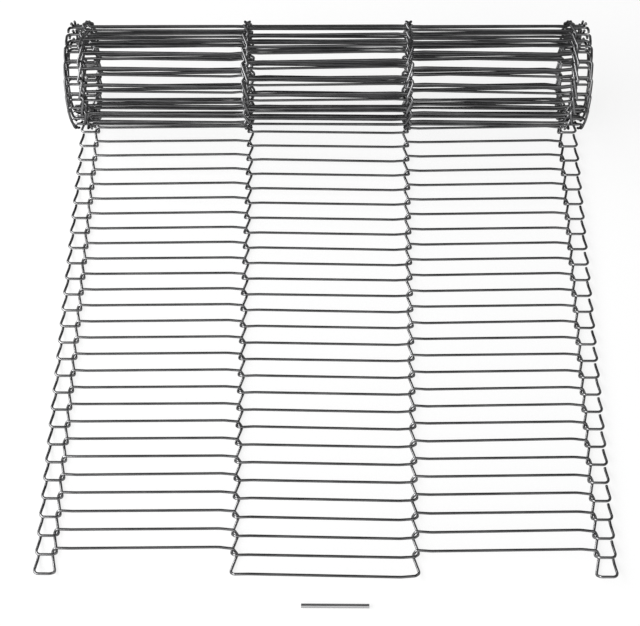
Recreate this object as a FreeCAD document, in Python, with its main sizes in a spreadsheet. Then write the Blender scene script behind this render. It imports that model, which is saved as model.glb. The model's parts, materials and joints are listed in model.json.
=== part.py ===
# Oven conveyor belt: a flat ladder of hooked wire strands, three spaces wide with a small loop
# along each edge. The front of the belt lies flat, the back is wound into a roll, and the loose
# tube that joins two cut strands lies before the front end.
# Frame: +X across the belt, -Y towards its free front end, +Z up from the floor.

import FreeCAD, Part
import math
import os

Vector = FreeCAD.Vector
X_AXIS = Vector(1, 0, 0)

# Driving dimensions in millimetres, and one count
SIZES = [
    ("wire_diameter", 1.8, "drawn stainless wire of every strand"),
    ("pitch", 12.7, "from one strand to the next, half an inch"),
    ("belt_width", 381, "over the corners of both edge loops, fifteen inches"),
    ("middle_space", 119, "middle space, from joint to joint"),
    ("edge_loop", 10.3, "small loop along each edge, from joint to joint"),
    ("hook_overlap", 4.5, "how far the bars of two hooked strands reach past each other"),
    ("hook_clearance", 0.55, "between the two wires that hook round each other"),
    ("flex_room", 2.0, "free height between a bar and the leg that crosses under it"),
    ("leg_slant", 2.1, "sideways lean of a middle leg, each way from its joint"),
    ("loop_slant", 1.5, "the same lean of the edge loops' legs"),
    ("bend_radius", 2.1, "centre line of every bend in the wire"),
    ("end_gap", 0.6, "from a cut wire end to the edge bar of the strand behind"),
    ("flat_strands", 28, "strands that lie flat on the floor"),
    ("roll_radius", 41, "from the roll's middle to its outermost joints"),
    ("roll_slack", 0.6, "how far hooked strands push together on the outermost turn"),
    ("core_radius", 24, "joint radius at which the winding ends"),
    ("turn_clearance", 0.3, "air between one turn of the roll and the next"),
    ("tube_length", 44, "joining tube"),
    ("tube_wall", 0.4, "wall of the joining tube"),
    ("tube_fit", 0.2, "bore of the joining tube over the wire diameter"),
    ("tube_distance", 19, "from the front bars to the axis of the joining tube"),
    ("tube_offset", 6.8, "from the belt's middle to the middle of the joining tube"),
]

doc = FreeCAD.newDocument("oven_conveyor_belt")
sizes = doc.addObject("Spreadsheet::Sheet", "Sizes")
for row, (alias, value, meaning) in enumerate(SIZES, start=1):
    sizes.set(f"A{row}", meaning)
    sizes.set(f"B{row}", str(value))
    sizes.setAlias(f"B{row}", alias)
doc.recompute()

# Heights from a strand's hinge axis: bars run above it, legs below it
level = (sizes.wire_diameter + sizes.flex_room) / 2
axis_height = level + sizes.wire_diameter / 2

# Plan of one hook, seen from its joint: the bar ends at (bar_end, bar_reach), a slope at 45
# degrees leads down to the leg at (slant, slope_offset - slant), and the other strand's slope
# runs parallel to it on the far side of the joint
bar_reach = sizes.hook_overlap / 2
slope_offset = (sizes.wire_diameter + sizes.hook_clearance) / math.sqrt(2)
bar_end = slope_offset - bar_reach


def hook_behind(joint, side, slant):
    """Bar end and leg start where a strand hooks the one behind it; side +1 has the bar on the left."""
    return [
        Vector(joint + side * bar_end, bar_reach, level),
        Vector(joint + side * slant, slope_offset - slant, -level),
    ]


def hook_ahead(joint, side, slant):
    """Leg end and bar start where a strand is hooked by the one ahead, half a turn from the other."""
    return [
        Vector(joint - side * slant, -sizes.pitch - slope_offset + slant, -level),
        Vector(joint - side * bar_end, -sizes.pitch - bar_reach, level),
    ]


def cut_end(joint, side, slant):
    """Free end of an outer leg, which stops in front of the edge bar of the strand behind."""
    front = hook_ahead(joint, side, slant)[0]
    back = hook_behind(joint, side, slant)[1]
    stop = -bar_reach - sizes.wire_diameter / 2 - sizes.end_gap
    return front + (back - front) * ((stop - front.y) / (back.y - front.y))


def strand_corners():
    """Corners of one strand's wire from left to right, about the joint with the strand behind."""
    edge = sizes.belt_width / 2 - sizes.loop_slant - sizes.wire_diameter / 2
    inner = edge - sizes.edge_loop
    middle = sizes.middle_space / 2
    corners = [cut_end(-edge, 1, sizes.loop_slant)]
    corners += hook_ahead(-edge, 1, sizes.loop_slant)
    corners += reversed(hook_ahead(-inner, -1, sizes.loop_slant))
    corners += reversed(hook_behind(-inner, -1, sizes.loop_slant))
    corners += hook_behind(-middle, 1, sizes.leg_slant)
    corners += hook_ahead(-middle, 1, sizes.leg_slant)
    corners += reversed(hook_ahead(middle, -1, sizes.leg_slant))
    corners += reversed(hook_behind(middle, -1, sizes.leg_slant))
    corners += hook_behind(inner, 1, sizes.loop_slant)
    corners += hook_ahead(inner, 1, sizes.loop_slant)
    corners += reversed(hook_ahead(edge, -1, sizes.loop_slant))
    corners += [cut_end(edge, -1, sizes.loop_slant)]
    return corners


def bent_wire(corners, radius):
    """Straight runs between the corners, joined by tangent arcs."""
    edges = []
    start = corners[0]
    for before, corner, after in zip(corners, corners[1:], corners[2:]):
        back = (before - corner).normalize()
        ahead = (after - corner).normalize()
        half_turn = (math.pi - back.getAngle(ahead)) / 2
        tangent = radius * math.tan(half_turn)
        inward = (back + ahead).normalize()
        arc_start = corner + back * tangent
        arc_middle = corner + inward * (radius / math.cos(half_turn) - radius)
        arc_end = corner + ahead * tangent
        edges.append(Part.LineSegment(start, arc_start).toShape())
        edges.append(Part.Arc(arc_start, arc_middle, arc_end).toShape())
        start = arc_end
    edges.append(Part.LineSegment(start, corners[-1]).toShape())
    return Part.Wire(edges)


# One strand: a round section swept along the bent centre line
corners = strand_corners()
centre_line = doc.addObject("Part::Feature", "strand_centre_line")
centre_line.Shape = bent_wire(corners, sizes.bend_radius)

section = doc.addObject("Part::Circle", "wire_section")
section.setExpression("Radius", "Sizes.wire_diameter / 2")
section.Placement = FreeCAD.Placement(
    corners[0], FreeCAD.Rotation(Vector(0, 0, 1), corners[1] - corners[0])
)

formed_wire = doc.addObject("Part::Sweep", "formed_wire")
formed_wire.Sections = [section]
formed_wire.Spine = (centre_line, [f"Edge{i + 1}" for i in range(len(centre_line.Shape.Edges))])
formed_wire.Solid = True
doc.recompute()


def wound_joints():
    """Joint (y, z) and heading of each wound strand, from the floor round and inwards.

    The first one still lies flat. Each turn lies inside the turn before it, and its hooks are
    pulled tighter towards the core.
    """
    turn_spacing = 2 * axis_height + sizes.turn_clearance
    radius = sizes.roll_radius
    heading = 0.0
    y, z = sizes.pitch, axis_height
    joints = [(y, z, heading)]
    while radius > sizes.core_radius:
        looseness = (radius - sizes.core_radius) / (sizes.roll_radius - sizes.core_radius)
        step = sizes.pitch - sizes.roll_slack * looseness
        turn = 2 * math.asin(step / 2 / radius)
        heading += turn
        y += step * math.cos(heading)
        z += step * math.sin(heading)
        joints.append((y, z, heading))
        radius -= turn_spacing * turn / (2 * math.pi)
    return joints


def back_reach(joints):
    """How far back the wound strands reach."""
    reach = max(
        y + corner.y * math.cos(heading) - corner.z * math.sin(heading)
        for y, z, heading in joints
        for corner in corners
    )
    return reach + sizes.wire_diameter / 2


# The tube lies furthest forward and the roll furthest back; the origin is midway, on the floor
wound = wound_joints()
tube_radius = sizes.wire_diameter / 2 + sizes.tube_fit / 2 + sizes.tube_wall
front_bars = -sizes.flat_strands * sizes.pitch - bar_reach
tube_y = front_bars - sizes.tube_distance
origin_y = (back_reach(wound) + tube_y - tube_radius) / 2


def strand(label, y, z, heading):
    """A copy of the formed wire with its hinge axis at (y, z), turned up by the heading."""
    copy = doc.addObject("App::Link", label)
    copy.LinkedObject = formed_wire
    copy.LinkTransform = False
    copy.Placement = FreeCAD.Placement(
        Vector(0, y - origin_y, z), FreeCAD.Rotation(X_AXIS, math.degrees(heading))
    )
    return copy


sub_parts = []

# Flat run, from the free front end back to the roll
flat_count = int(sizes.flat_strands)
for number in range(1, flat_count + 1):
    y = -sizes.pitch * (flat_count - number)
    sub_parts.append(strand(f"strand_{number:02d}", y, axis_height, 0))

# Roll: every strand of the outer turn by itself, each inner turn as a group of strands
turns = {}
for number, (y, z, heading) in enumerate(wound, start=1):
    turn = int(heading // (2 * math.pi)) + 1
    copy = strand(f"roll_strand_{number:02d}", y, z, heading)
    turns.setdefault(turn, []).append(copy)
sub_parts += turns.pop(1)
for turn, copies in turns.items():
    group = doc.addObject("Part::Compound", f"roll_turn_{turn}")
    group.Links = copies
    sub_parts.append(group)

# Joining tube, in front of the free end
tube_outside = doc.addObject("Part::Cylinder", "tube_outside")
tube_outside.setExpression("Radius", "(Sizes.wire_diameter + Sizes.tube_fit) / 2 + Sizes.tube_wall")
tube_outside.setExpression("Height", "Sizes.tube_length")
tube_bore = doc.addObject("Part::Cylinder", "tube_bore")
tube_bore.setExpression("Radius", "(Sizes.wire_diameter + Sizes.tube_fit) / 2")
tube_bore.setExpression("Height", "Sizes.tube_length")
joining_tube = doc.addObject("Part::Cut", "joining_tube")
joining_tube.Base = tube_outside
joining_tube.Tool = tube_bore
joining_tube.Placement = FreeCAD.Placement(
    Vector(sizes.tube_offset - sizes.tube_length / 2, tube_y - origin_y, tube_radius),
    FreeCAD.Rotation(Vector(0, 0, 1), X_AXIS),
)
sub_parts.append(joining_tube)

doc.recompute()
failed = [o.Label for o in doc.Objects if "Invalid" in o.State or "Error" in o.State]
if failed:
    raise RuntimeError(f"objects that failed: {failed}")

shapes = {part.Label: Part.getShape(part) for part in sub_parts}
bad = [label for label, shape in shapes.items() if shape.isNull() or not shape.isValid()]
if bad:
    raise RuntimeError(f"sub-parts without a valid shape: {bad}")

os.makedirs("parts", exist_ok=True)
for label, shape in shapes.items():
    shape.exportStep(f"parts/{label}.step")
print(len(shapes), "sub-parts,", len(wound), "wound strands, origin at", round(origin_y, 3), "mm")
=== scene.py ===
# Oven conveyor belt: hooked wire strands, the front lying flat, the back wound into a roll, and a
# short loose joining tube in front. Objects are in metres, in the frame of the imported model; the
# sizes of wire and tube are written in millimetres.

import json
import math
import random

import bpy
from mathutils import Matrix, Vector


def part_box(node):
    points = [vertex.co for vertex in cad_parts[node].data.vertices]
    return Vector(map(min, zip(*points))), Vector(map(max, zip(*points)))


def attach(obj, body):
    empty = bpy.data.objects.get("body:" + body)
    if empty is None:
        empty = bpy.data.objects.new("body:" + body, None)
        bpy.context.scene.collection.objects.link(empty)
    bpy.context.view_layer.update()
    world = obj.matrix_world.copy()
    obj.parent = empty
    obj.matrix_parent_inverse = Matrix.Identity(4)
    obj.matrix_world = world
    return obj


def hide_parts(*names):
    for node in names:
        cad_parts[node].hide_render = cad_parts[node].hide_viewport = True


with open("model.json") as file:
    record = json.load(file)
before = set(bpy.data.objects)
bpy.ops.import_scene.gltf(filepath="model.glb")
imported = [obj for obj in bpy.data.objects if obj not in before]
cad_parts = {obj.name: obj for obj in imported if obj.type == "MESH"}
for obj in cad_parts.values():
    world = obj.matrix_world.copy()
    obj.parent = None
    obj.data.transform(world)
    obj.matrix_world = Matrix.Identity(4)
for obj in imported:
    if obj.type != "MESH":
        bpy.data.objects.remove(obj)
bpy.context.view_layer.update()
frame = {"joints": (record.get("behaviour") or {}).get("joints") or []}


# Strand: one length of round stainless wire, bent cold on a forming tool into two side bars, a
# middle bar and a small loop at each edge. Every leg is pressed down below the bars, so a strand
# hooks round the one behind it. Nothing is welded.

MM = 0.001
WIRE = 1.8
PITCH = 12.7            # from one hinge axis to the next
LEVEL = 1.9             # bars run this far above the hinge axis, legs this far below it
BEND_RADIUS = 2.1
BEND_STEPS = 6
STRAIGHT = 0.002        # radians; where the wire turns by less than twice this, it isn't bent

# Seen from above, the wire of a hook slants at 45 degrees, and crosses the hinge axis beside its
# joint as far off as leaves this clearance to the wire that it hooks
HOOK_CLEARANCE = 0.55
SLOPE = (WIRE + HOOK_CLEARANCE) / math.sqrt(2)

# Joints from the belt's middle line outwards, with the sideways lean of their legs
MIDDLE_JOINT = 59.5
INNER_JOINT = 177.8
EDGE_JOINT = 188.1
LEANS = {MIDDLE_JOINT: 2.1, INNER_JOINT: 1.5}

# Outer legs of the edge loops: how far from the belt's middle line at the axis in front, and at
# their own. Nothing hooks into their round front corner: they come down behind it, and are cut off
# under the edge bar of the strand behind
OUTER_LEG = (189.4, 187.9)
CORNER_RADIUS = 3.0
DROP_END = -4.8         # from the hinge axis to where the leg has come down
DROP_RADIUS = 8.0
CUT_END = -1.35         # from the hinge axis to the cut
SHORT_END = -2.6        # the same where a strand is cut shorter

# Bars from left to right: the joint at either end, +1 for a bar behind its strand's hinge axis or
# -1 for one a pitch in front of it, the reach from that axis at either end, and how far back the
# bar is bent beside either end
BARS = [
    (-EDGE_JOINT, -INNER_JOINT, -1, 2.25, 2.25, 0.0, 0.0),
    (-INNER_JOINT, -MIDDLE_JOINT, 1, 2.1, 2.25, -0.3, 0.9),
    (-MIDDLE_JOINT, MIDDLE_JOINT, -1, 1.9, 2.4, 0.4, -0.6),
    (MIDDLE_JOINT, INNER_JOINT, 1, 1.9, 2.35, -0.5, 1.0),
    (INNER_JOINT, EDGE_JOINT, -1, 2.25, 2.25, 0.0, 0.0),
]

# Gentle bends that handling has left beside the ends of the long bars, and how far one strand
# differs from the next
LONG_BAR = 40.0
SWEEP_INSET = 10.0
SWEEP_RADIUS = 30.0
SWEEP_STEPS = 2
REACH_SPREAD = 0.05
PUSH_SPREAD = 0.2
CUT_SPREAD = 0.15
handling = random.Random(28)


def outer_leg(side, y, z):
    """Point of the outer leg on one side, which is straight when seen from above."""
    front, back = OUTER_LEG
    return Vector((side * (back - (front - back) * y / PITCH), y, z))


def strand_corners(right_end):
    """Corners of one strand's wire from left to right about its hinge axis, and their bend radii."""
    corners = []
    for left, right, way, left_reach, right_reach, left_push, right_push in BARS:
        hinge = 0 if way > 0 else -PITCH
        ends = ((left, -1, left_reach, left_push), (right, 1, right_reach, right_push))
        for joint, side, reach, push in ends:
            reach += handling.uniform(-REACH_SPREAD, REACH_SPREAD)
            bar = hinge + way * reach
            if abs(joint) == EDGE_JOINT:
                hook = [
                    (outer_leg(side, DROP_END, -LEVEL), DROP_RADIUS),
                    (outer_leg(side, bar, LEVEL), CORNER_RADIUS),
                ]
            else:
                lean = LEANS[abs(joint)]
                leg = hinge + way * (SLOPE - lean)
                hook = [
                    (Vector((joint + side * lean, leg, -LEVEL)), BEND_RADIUS),
                    (Vector((joint + side * (SLOPE - reach), bar, LEVEL)), BEND_RADIUS),
                ]
            if right - left > LONG_BAR:
                push += handling.uniform(-PUSH_SPREAD, PUSH_SPREAD)
                sweep = Vector((joint - side * SWEEP_INSET, bar + push, LEVEL))
                hook.append((sweep, SWEEP_RADIUS))
            corners += hook[::-side]
    tips = []
    for side, stop in ((-1, CUT_END), (1, right_end)):
        stop += handling.uniform(-CUT_SPREAD, CUT_SPREAD)
        tips.append((outer_leg(side, stop, -LEVEL), 0))
    return [tips[0]] + corners + [tips[1]]


def bent_line(corners):
    """Centre line of the wire: straight runs, with a round bend at every corner."""
    line = [corners[0][0]]
    for (before, _), (corner, radius), (after, _) in zip(corners, corners[1:], corners[2:]):
        back = (before - corner).normalized()
        ahead = (after - corner).normalized()
        half_turn = (math.pi - back.angle(ahead)) / 2
        if half_turn < STRAIGHT:
            continue
        inward = (back + ahead).normalized()
        centre = corner + inward * (radius / math.cos(half_turn))
        axis = back.cross(ahead).normalized()
        steps = SWEEP_STEPS if radius == SWEEP_RADIUS else BEND_STEPS
        for step in range(steps + 1):
            turn = half_turn * (1 - 2 * step / steps)
            line.append(centre - Matrix.Rotation(turn, 3, axis) @ inward * radius)
    line.append(corners[-1][0])
    return line


WIRE_SIDES = 14
RIM_LENGTH = 0.25       # a sheared end has its rim pressed round over this length
RIM_INSET = 0.2
BENT = 0.08             # radians from one short run of the wire to the next that make it a bend
PATTERN_LENGTH = 400.0  # each wire shows another stretch of the same drawn pattern


def wire_mesh(name, lines):
    """Round wire along each line, with cut ends. The UV map is in millimetres, along and around."""
    vertices = []
    wear_and_highlight = []
    faces = []
    uvs = []
    around = math.pi * WIRE / WIRE_SIDES
    for line in lines:
        first = (line[1] - line[0]).normalized()
        last = (line[-1] - line[-2]).normalized()
        rim = WIRE / 2 - RIM_INSET
        radii = [rim] + [WIRE / 2] * len(line) + [rim]
        start = [line[0], line[0] + first * RIM_LENGTH]
        end = [line[-1] - last * RIM_LENGTH, line[-1]]
        line = start + line[1:-1] + end
        base = len(vertices)
        along = handling.uniform(0, PATTERN_LENGTH)
        distances = []
        normal = first.orthogonal().normalized()
        for number, (point, radius) in enumerate(zip(line, radii)):
            before = line[max(number - 1, 0)]
            after = line[min(number + 1, len(line) - 1)]
            heading = (after - before).normalized()
            normal = (normal - heading * normal.dot(heading)).normalized()
            across = heading.cross(normal)
            if number:
                along += (point - before).length
            distances.append(along)
            # every bend is painted brighter, in part as the wear where hooks rub each other and in
            # part as a painted highlight; the cut ends are bare metal
            at_end = number in (0, len(line) - 1)
            bent = not at_end and (point - before).angle(after - point) > BENT
            wear_and_highlight += [float(at_end or bent)] * WIRE_SIDES
            for side in range(WIRE_SIDES):
                angle = 2 * math.pi * side / WIRE_SIDES
                spoke = normal * math.cos(angle) + across * math.sin(angle)
                vertices.append((point + spoke * radius) * MM)
        for number in range(len(line) - 1):
            ring = base + number * WIRE_SIDES
            following = ring + WIRE_SIDES
            here, there = distances[number], distances[number + 1]
            for side in range(WIRE_SIDES):
                beside = (side + 1) % WIRE_SIDES
                faces.append((ring + side, ring + beside, following + beside, following + side))
                low, high = side * around, (side + 1) * around
                uvs += [(here, low), (here, high), (there, high), (there, low)]
        for ring, order in ((base, -1), (base + (len(line) - 1) * WIRE_SIDES, 1)):
            faces.append(tuple(ring + side for side in range(WIRE_SIDES))[::order])
            uvs += [(distances[0], side * around) for side in range(WIRE_SIDES)]
    mesh = bpy.data.meshes.new(name)
    mesh.from_pydata(vertices, [], faces)
    layer = mesh.uv_layers.new(name="wire_length")
    layer.data.foreach_set("uv", [value for uv in uvs for value in uv])
    # the mark for the brighter bends and cut ends: wear, and a painted highlight on every bend
    mesh.attributes.new("wear_and_highlight", "FLOAT", "POINT").data.foreach_set("value", wear_and_highlight)
    mesh.polygons.foreach_set("use_smooth", [len(face) == 4 for face in faces])
    mesh.validate()
    piece = bpy.data.objects.new(name, mesh)
    bpy.context.scene.collection.objects.link(piece)
    return piece


def linear(hex_colour):
    """Linear RGBA of an sRGB hex colour."""
    channels = [int(hex_colour[i:i + 2], 16) / 255 for i in (1, 3, 5)]
    return [c / 12.92 if c <= 0.04045 else ((c + 0.055) / 1.055) ** 2.4 for c in channels] + [1.0]


def add_node(material, kind, settings=None, inputs=None, links=None):
    """A node with its settings, its fixed inputs, and its inputs fed by other nodes' outputs."""
    node = material.node_tree.nodes.new(kind)
    for key, value in (settings or {}).items():
        setattr(node, key, value)
    for key, value in (inputs or {}).items():
        node.inputs[key].default_value = value
    for key, output in (links or {}).items():
        material.node_tree.links.new(output, node.inputs[key])
    return node


# Drawn stainless steel wire, dulled in the oven: a dark even grey with soft highlights along the
# wire, fine die lines lengthwise, a faintly uneven film from heat and washing, and bends and cut ends
# painted brighter: in part wear where hooks rub, in part a painted highlight on every bend.
DIE_LINE_WIDTH = 0.4    # real ones are some 0.05 wide; drawn this coarse so that they show
DIE_LINE_LENGTH = 40.0
DIE_LINE_DEPTH = 0.02
FILM_PATCH = 20.0       # the heat film changes over about this distance
WEAR_AND_HIGHLIGHT_SHARE = 0.3         # how much brighter bends and cut ends are painted: wear where hooks rub, and a painted highlight
# from the full film to the bright bends: rubbed metal, and a painted highlight
FILM_WEAR_AND_HIGHLIGHT_COLOURS = ((0.35, "#565657"), (0.65, "#6b6b6c"), (0.95, "#858586"))

drawn_steel = bpy.data.materials.new("drawn_stainless_wire")
drawn_steel.use_nodes = True
steel_shader = drawn_steel.node_tree.nodes["Principled BSDF"]
steel_shader.inputs["Metallic"].default_value = 1.0
# the film keeps the edges of the wire dark
steel_shader.inputs["Specular Tint"].default_value = linear("#303030")
steel_place = add_node(drawn_steel, "ShaderNodeTexCoord")
steel_lengthwise = add_node(
    drawn_steel,
    "ShaderNodeMapping",
    inputs={"Scale": (1 / DIE_LINE_LENGTH, 1 / DIE_LINE_WIDTH, 1)},
    links={"Vector": steel_place.outputs["UV"]},
)
die_lines = add_node(
    drawn_steel,
    "ShaderNodeTexNoise",
    inputs={"Scale": 1.0, "Detail": 2.0, "Roughness": 0.6},
    links={"Vector": steel_lengthwise.outputs["Vector"]},
)
heat_film = add_node(
    drawn_steel,
    "ShaderNodeTexNoise",
    inputs={"Scale": 1 / (FILM_PATCH * MM), "Detail": 3.0, "Roughness": 0.55},
    links={"Vector": steel_place.outputs["Object"]},
)
# bends and cut ends, painted brighter as wear and as a painted highlight
steel_wear_and_highlight = add_node(drawn_steel, "ShaderNodeAttribute", settings={"attribute_name": "wear_and_highlight"})
steel_bareness_and_highlight = add_node(
    drawn_steel,
    "ShaderNodeMath",
    settings={"operation": "MULTIPLY_ADD"},
    inputs={1: WEAR_AND_HIGHLIGHT_SHARE},
    links={0: steel_wear_and_highlight.outputs["Fac"], 2: heat_film.outputs["Fac"]},
)
steel_colours = add_node(
    drawn_steel,
    "ShaderNodeValToRGB",
    links={"Fac": steel_bareness_and_highlight.outputs["Value"]},
)
steel_colours.color_ramp.elements.new(0.5)
for stop, (position, colour) in zip(steel_colours.color_ramp.elements, FILM_WEAR_AND_HIGHLIGHT_COLOURS):
    stop.position = position
    stop.color = linear(colour)
steel_gloss = add_node(
    drawn_steel,
    "ShaderNodeMapRange",
    inputs={"From Min": 0.3, "From Max": 0.7, "To Min": 0.28, "To Max": 0.38},
    links={"Value": die_lines.outputs["Fac"]},
)
steel_bump = add_node(
    drawn_steel,
    "ShaderNodeBump",
    inputs={"Strength": 0.15, "Distance": DIE_LINE_DEPTH * MM},
    links={"Height": die_lines.outputs["Fac"]},
)
steel_links = drawn_steel.node_tree.links
steel_links.new(steel_colours.outputs["Color"], steel_shader.inputs["Base Color"])
steel_links.new(steel_gloss.outputs["Result"], steel_shader.inputs["Roughness"])
steel_links.new(steel_bump.outputs["Normal"], steel_shader.inputs["Normal"])


# Flat run: the strands that lie on the floor, each bent from the same stainless wire, hooked into
# the next and free to swing on it. Of the front ones, many are cut shorter on the right.

FIRST_FULL_STRAND = 20  # from this one back, no strand is cut short
SHORT_SHARE = 0.65

for joint in frame["joints"]:
    if joint["type"] != "hinge":
        continue
    node = joint["child"]
    hinge = Vector(joint["pos_m"]) / MM
    cut_short = int(node[-2:]) < FIRST_FULL_STRAND and handling.random() < SHORT_SHARE
    corners = strand_corners(SHORT_END if cut_short else CUT_END)
    line = [point + hinge for point in bent_line(corners)]
    piece = wire_mesh(node.replace("strand", "formed_wire"), [line])
    piece.data.materials.append(drawn_steel)
    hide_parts(node)
    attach(piece, node)


# Roll: the rest of the belt, wound up by hand. The strands push together in their hooks on the
# slack outer turn and lie pulled out round the core.

ROLL_RADIUS = 41.0      # from the middle of the roll to the outermost joints
CORE_RADIUS = 24.0      # the winding ends where the joints are this near the middle
ROLL_SLACK = 0.6        # how far hooked strands push together on the outermost turn
TURN_SPACING = 5.9      # a strand's height of 5.6, and 0.3 of air

roll_start = next(
    Vector(joint["pos_m"]) / MM for joint in frame["joints"] if joint["name"] == "hinge_28"
)
radius = ROLL_RADIUS
heading = 0.0
place = roll_start + Vector((0, PITCH, 0))
wound = [(place.copy(), heading)]
while radius > CORE_RADIUS:
    step = PITCH - ROLL_SLACK * (radius - CORE_RADIUS) / (ROLL_RADIUS - CORE_RADIUS)
    turn = 2 * math.asin(step / 2 / radius)
    heading += turn
    place += Vector((0, step * math.cos(heading), step * math.sin(heading)))
    wound.append((place.copy(), heading))
    radius -= TURN_SPACING * turn / (2 * math.pi)

turns = {}
for number, (place, heading) in enumerate(wound, start=1):
    lift = Matrix.Rotation(heading, 3, "X")
    line = [lift @ point + place for point in bent_line(strand_corners(CUT_END))]
    turn = int(heading // (2 * math.pi)) + 1
    node = f"roll_strand_{number:02d}" if turn == 1 else f"roll_turn_{turn}"
    turns.setdefault(node, []).append(line)

for node, lines in turns.items():
    piece = wire_mesh(node.replace("roll", "wound_wire"), lines)
    piece.data.materials.append(drawn_steel)
    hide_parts(node)
    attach(piece, "roll")


# Joining tube: a short length of thin stainless tube, cut square and deburred. It lies loose in
# front of the belt, and the two cut ends of a strand are pushed into it when a belt is closed.

TUBE_OUTSIDE = 1.4      # radius
TUBE_BORE = 1.0         # radius
TUBE_BREAK = 0.1        # edges broken with a file
TUBE_SIDES = 40
TUBE_SHARP = 30         # degrees; the broken edges stay crisp

tube_low, tube_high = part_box("joining_tube")
tube_middle = (tube_low + tube_high) / 2 / MM
tube_half = (tube_high.x - tube_low.x) / 2 / MM
tube_profile = [
    (-tube_half, TUBE_BORE + TUBE_BREAK),
    (-tube_half, TUBE_OUTSIDE - TUBE_BREAK),
    (-tube_half + TUBE_BREAK, TUBE_OUTSIDE),
    (tube_half - TUBE_BREAK, TUBE_OUTSIDE),
    (tube_half, TUBE_OUTSIDE - TUBE_BREAK),
    (tube_half, TUBE_BORE + TUBE_BREAK),
    (tube_half - TUBE_BREAK, TUBE_BORE),
    (-tube_half + TUBE_BREAK, TUBE_BORE),
]
tube_vertices = []
for x, reach in tube_profile:
    for side in range(TUBE_SIDES):
        angle = 2 * math.pi * side / TUBE_SIDES
        spoke = Vector((x, reach * math.cos(angle), reach * math.sin(angle)))
        tube_vertices.append((tube_middle + spoke) * MM)
tube_faces = []
tube_uvs = []
for number, (start, _) in enumerate(tube_profile):
    following = (number + 1) % len(tube_profile)
    end = tube_profile[following][0]
    here = number * TUBE_SIDES
    there = following * TUBE_SIDES
    for side in range(TUBE_SIDES):
        beside = (side + 1) % TUBE_SIDES
        tube_faces.append((here + side, there + side, there + beside, here + beside))
        low = 2 * math.pi * TUBE_OUTSIDE * side / TUBE_SIDES
        high = 2 * math.pi * TUBE_OUTSIDE * (side + 1) / TUBE_SIDES
        tube_uvs += [(start, low), (end, low), (end, high), (start, high)]
tube_mesh = bpy.data.meshes.new("splice_tube")
tube_mesh.from_pydata(tube_vertices, [], tube_faces)
tube_layer = tube_mesh.uv_layers.new(name="tube_length")
tube_layer.data.foreach_set("uv", [value for uv in tube_uvs for value in uv])
tube_mesh.polygons.foreach_set("use_smooth", [True] * len(tube_faces))
tube_mesh.set_sharp_from_angle(angle=math.radians(TUBE_SHARP))
tube = bpy.data.objects.new("splice_tube", tube_mesh)
bpy.context.scene.collection.objects.link(tube)

# Drawn and polished stainless tube: brighter than the used wire, with hardly visible lines along it
# that stretch the reflections of floor and light into long stripes. A thin film keeps its edges dark.
POLISH_LINE_WIDTH = 0.3     # real ones are finer than 0.05; drawn this coarse so that they show
POLISH_LINE_LENGTH = 25.0
POLISH_COLOURS = ((0.3, "#a4a4a5"), (0.7, "#c0c0c1"))

drawn_tube = bpy.data.materials.new("drawn_polished_stainless_tube")
drawn_tube.use_nodes = True
tube_shader = drawn_tube.node_tree.nodes["Principled BSDF"]
tube_shader.inputs["Metallic"].default_value = 1.0
tube_shader.inputs["Specular Tint"].default_value = linear("#404040")
tube_place = add_node(drawn_tube, "ShaderNodeTexCoord")
tube_lengthwise = add_node(
    drawn_tube,
    "ShaderNodeMapping",
    inputs={"Scale": (1 / POLISH_LINE_LENGTH, 1 / POLISH_LINE_WIDTH, 1)},
    links={"Vector": tube_place.outputs["UV"]},
)
polish_lines = add_node(
    drawn_tube,
    "ShaderNodeTexNoise",
    inputs={"Scale": 1.0, "Detail": 2.0, "Roughness": 0.6},
    links={"Vector": tube_lengthwise.outputs["Vector"]},
)
tube_colours = add_node(
    drawn_tube,
    "ShaderNodeValToRGB",
    links={"Fac": polish_lines.outputs["Fac"]},
)
for stop, (position, colour) in zip(tube_colours.color_ramp.elements, POLISH_COLOURS):
    stop.position = position
    stop.color = linear(colour)
tube_gloss = add_node(
    drawn_tube,
    "ShaderNodeMapRange",
    inputs={"From Min": 0.3, "From Max": 0.7, "To Min": 0.14, "To Max": 0.22},
    links={"Value": polish_lines.outputs["Fac"]},
)
tube_links = drawn_tube.node_tree.links
tube_links.new(tube_colours.outputs["Color"], tube_shader.inputs["Base Color"])
tube_links.new(tube_gloss.outputs["Result"], tube_shader.inputs["Roughness"])

tube.data.materials.append(drawn_tube)
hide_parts("joining_tube")
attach(tube, "joining_tube")


# Floor: a wide sheet of white paper that lies flat under the belt and rises far outside it. It shows
# white to the camera and in the wire, and keeps a soft shadow under the belt.

PAPER_FLAT = 2.5        # metres from the middle to where the sheet starts to rise
PAPER_RISE = 1.0        # metres, the radius of its rise
PAPER_SIDES = 64
PAPER_GAP = 0.05        # from the underside of the legs
PAPER_GLOW = 0.85       # share of plain white in what the camera and the metal see

paper_rings = []
for slope in (0, 15, 30, 45, 60, 75):
    reach = PAPER_FLAT + PAPER_RISE * math.sin(math.radians(slope))
    paper_rings.append((reach, PAPER_RISE * (1 - math.cos(math.radians(slope)))))
paper_vertices = []
for reach, height in paper_rings:
    for side in range(PAPER_SIDES):
        angle = 2 * math.pi * side / PAPER_SIDES
        paper_vertices.append((reach * math.cos(angle), reach * math.sin(angle), height))
paper_faces = [tuple(range(PAPER_SIDES))]
for ring in range(len(paper_rings) - 1):
    for side in range(PAPER_SIDES):
        here = ring * PAPER_SIDES + side
        beside = ring * PAPER_SIDES + (side + 1) % PAPER_SIDES
        paper_faces.append((here, here + PAPER_SIDES, beside + PAPER_SIDES, beside))
floor_mesh = bpy.data.meshes.new("white_floor")
floor_mesh.from_pydata(paper_vertices, [], paper_faces)
floor_mesh.polygons.foreach_set("use_smooth", [True] * len(paper_faces))
floor = bpy.data.objects.new("white_floor", floor_mesh)
floor.location.z = -PAPER_GAP * MM
bpy.context.scene.collection.objects.link(floor)

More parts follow.
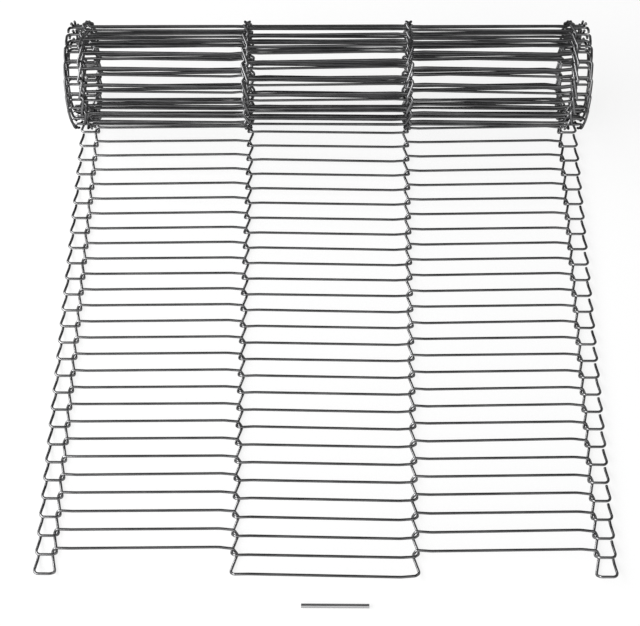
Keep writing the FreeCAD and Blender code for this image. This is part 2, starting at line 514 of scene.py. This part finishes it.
# Matt white paper: an even white without highlights, on which only the belt's soft shadow shows.
white_paper = bpy.data.materials.new("matt_white_paper")
white_paper.use_nodes = True
paper_shader = white_paper.node_tree.nodes["Principled BSDF"]
paper_shader.inputs["Base Color"].default_value = linear("#f4f4f4")
paper_shader.inputs["Roughness"].default_value = 0.9
paper_rays = add_node(white_paper, "ShaderNodeLightPath")
paper_sight = add_node(
    white_paper,
    "ShaderNodeMath",
    settings={"operation": "MAXIMUM"},
    links={0: paper_rays.outputs["Is Camera Ray"], 1: paper_rays.outputs["Is Glossy Ray"]},
)
paper_seen = add_node(
    white_paper,
    "ShaderNodeMath",
    settings={"operation": "MAXIMUM"},
    links={0: paper_sight.outputs["Value"], 1: paper_rays.outputs["Is Transmission Ray"]},
)
paper_share = add_node(
    white_paper,
    "ShaderNodeMath",
    settings={"operation": "MULTIPLY"},
    inputs={1: PAPER_GLOW},
    links={0: paper_seen.outputs["Value"]},
)
paper_white = add_node(
    white_paper,
    "ShaderNodeEmission",
    inputs={"Color": linear("#ffffff"), "Strength": 1.0},
)
paper_mix = add_node(
    white_paper,
    "ShaderNodeMixShader",
    links={
        0: paper_share.outputs["Value"],
        1: paper_shader.outputs["BSDF"],
        2: paper_white.outputs["Emission"],
    },
)
paper_output = white_paper.node_tree.nodes["Material Output"]
white_paper.node_tree.links.new(paper_mix.outputs["Shader"], paper_output.inputs["Surface"])
floor_mesh.materials.append(white_paper)


# Studio light: a long soft lamp along the left side, a very large weak one in front, and a dark grey
# room.

ROOM_GREY = 0.16

for name, spot, width, height, power in (
    ("soft_lamp_left", (-1.35, -0.15, 0.9), 3.2, 0.9, 72.0),
    ("soft_lamp_front", (0.0, -1.6, 1.25), 2.4, 2.4, 18.0),
):
    lamp = bpy.data.lights.new(name, "AREA")
    lamp.shape = "RECTANGLE"
    lamp.size = width
    lamp.size_y = height
    lamp.energy = power
    stand = bpy.data.objects.new(name, lamp)
    stand.location = spot
    stand.rotation_euler = (Vector((0, 0, 0)) - Vector(spot)).to_track_quat("-Z", "Y").to_euler()
    bpy.context.scene.collection.objects.link(stand)

room = bpy.data.worlds.new("grey_room")
room.use_nodes = True
room_light = room.node_tree.nodes["Background"]
room_light.inputs["Color"].default_value = (ROOM_GREY, ROOM_GREY, ROOM_GREY, 1)
bpy.context.scene.world = room
bpy.context.scene.view_settings.view_transform = "Standard"


# Camera: high in front of the belt, looking down at it, a touch to the right of its middle. Its
# place and angles are fitted to the lines of the strands in the photograph.

LENS = 71.72
CAMERA_PLACE = (0.0080, -0.4025, 0.8217)
CAMERA_AIM = 1.84       # degrees to the left
CAMERA_DOWN = 64.03     # degrees below level
CAMERA_LEAN = -1.485    # degrees about its own line of sight

camera = bpy.data.cameras.new("camera")
camera.lens = LENS
camera.sensor_width = 36.0
camera.clip_start = 0.01
photographer = bpy.data.objects.new("camera", camera)
aim = Matrix.Rotation(math.radians(CAMERA_AIM), 4, "Z")
tilt = Matrix.Rotation(math.radians(90 - CAMERA_DOWN), 4, "X")
lean = Matrix.Rotation(math.radians(CAMERA_LEAN), 4, "Z")
photographer.matrix_world = Matrix.Translation(CAMERA_PLACE) @ aim @ tilt @ lean
bpy.context.scene.collection.objects.link(photographer)
bpy.context.scene.camera = photographer
